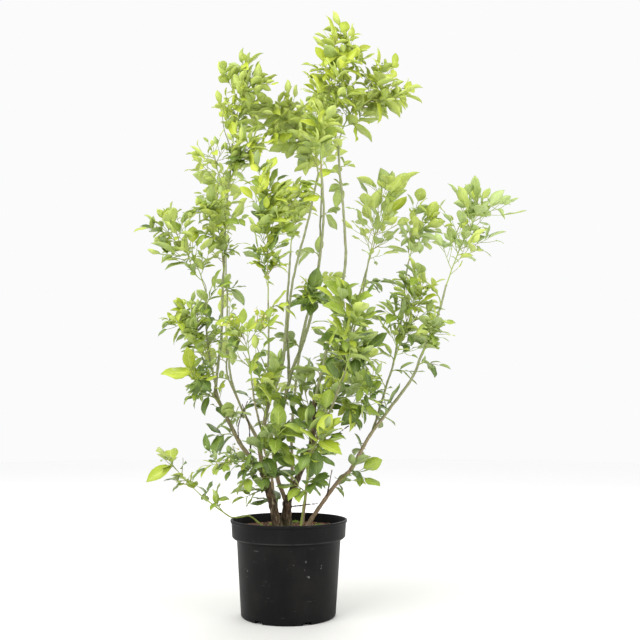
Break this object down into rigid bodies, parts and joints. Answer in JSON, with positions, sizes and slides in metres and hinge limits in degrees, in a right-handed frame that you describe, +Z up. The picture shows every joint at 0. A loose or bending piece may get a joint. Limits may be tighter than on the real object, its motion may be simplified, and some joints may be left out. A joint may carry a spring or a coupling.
{
  "type": "potted blueberry bush",
  "caption": "Tall leafy blueberry bush of many slender canes rising from compost in a round black plastic nursery pot.",
  "frame": {"origin": "centre of the pot's flat underside, where it stands", "axes": "+Z up along the pot's axis, -Y towards the side seen in the picture, +X to the right in it"},
  "size_m": [0.9219, 0.7517, 1.4967],
  "materials": {
    "pot": "moulded black plastic, satin with light scuffs",
    "compost": "moist composted bark, rough",
    "old_bark": "rough peeling bark",
    "cane_bark": "smooth green-brown bark",
    "foliage": "mid green leaves, satin",
    "high_foliage": "bright yellow-green young leaves, satin"
  },
  "bodies": {
    "root": {"pot": "pot", "compost": "compost", "left_trunk": "old_bark", "centre_trunk": "old_bark", "right_arch_foot": "cane_bark", "right_arch": "cane_bark", "curved_cane": "cane_bark", "left_arm": "cane_bark", "left_tall_cane": "cane_bark", "left_outer_cane": "cane_bark", "left_inner_cane": "cane_bark", "front_left_cane": "cane_bark", "straight_cane": "cane_bark", "tall_cane": "cane_bark", "centre_right_limb": "old_bark", "bowed_cane": "cane_bark", "right_tall_cane": "cane_bark", "inner_right_cane": "cane_bark", "front_right_cane": "cane_bark", "outer_right_cane": "cane_bark", "left_sucker": "cane_bark", "green_shoot": "cane_bark", "rear_left_cane": "cane_bark", "rear_right_cane": "cane_bark", "rear_centre_cane": "cane_bark", "top_foliage": "high_foliage", "top_right_foliage": "high_foliage", "upper_centre_foliage": "high_foliage", "upper_left_foliage": "high_foliage", "left_shoulder_foliage": "high_foliage", "left_column_foliage": "foliage", "upper_middle_foliage": "high_foliage", "left_far_foliage": "foliage", "straight_cane_foliage": "foliage", "curved_cane_foliage": "high_foliage", "right_upper_foliage": "high_foliage", "right_inner_foliage": "foliage", "right_far_foliage": "foliage", "right_middle_foliage": "foliage", "right_arch_foliage": "foliage", "front_right_foliage": "foliage", "centre_right_foliage": "foliage", "low_right_foliage": "foliage", "left_middle_foliage": "foliage", "left_low_foliage": "foliage", "centre_left_foliage": "foliage", "front_left_foliage": "foliage", "low_centre_left_foliage": "foliage", "heart_foliage": "foliage", "low_centre_foliage": "foliage", "low_front_foliage": "foliage", "foot_left_foliage": "foliage", "low_left_foliage": "foliage", "sucker_foliage": "foliage", "low_right_foot_foliage": "foliage", "flower_cluster_foliage": "foliage", "rear_top_foliage": "high_foliage", "rear_left_foliage": "high_foliage", "rear_right_foliage": "high_foliage", "rear_low_foliage": "foliage"}
  },
  "joints": []
}
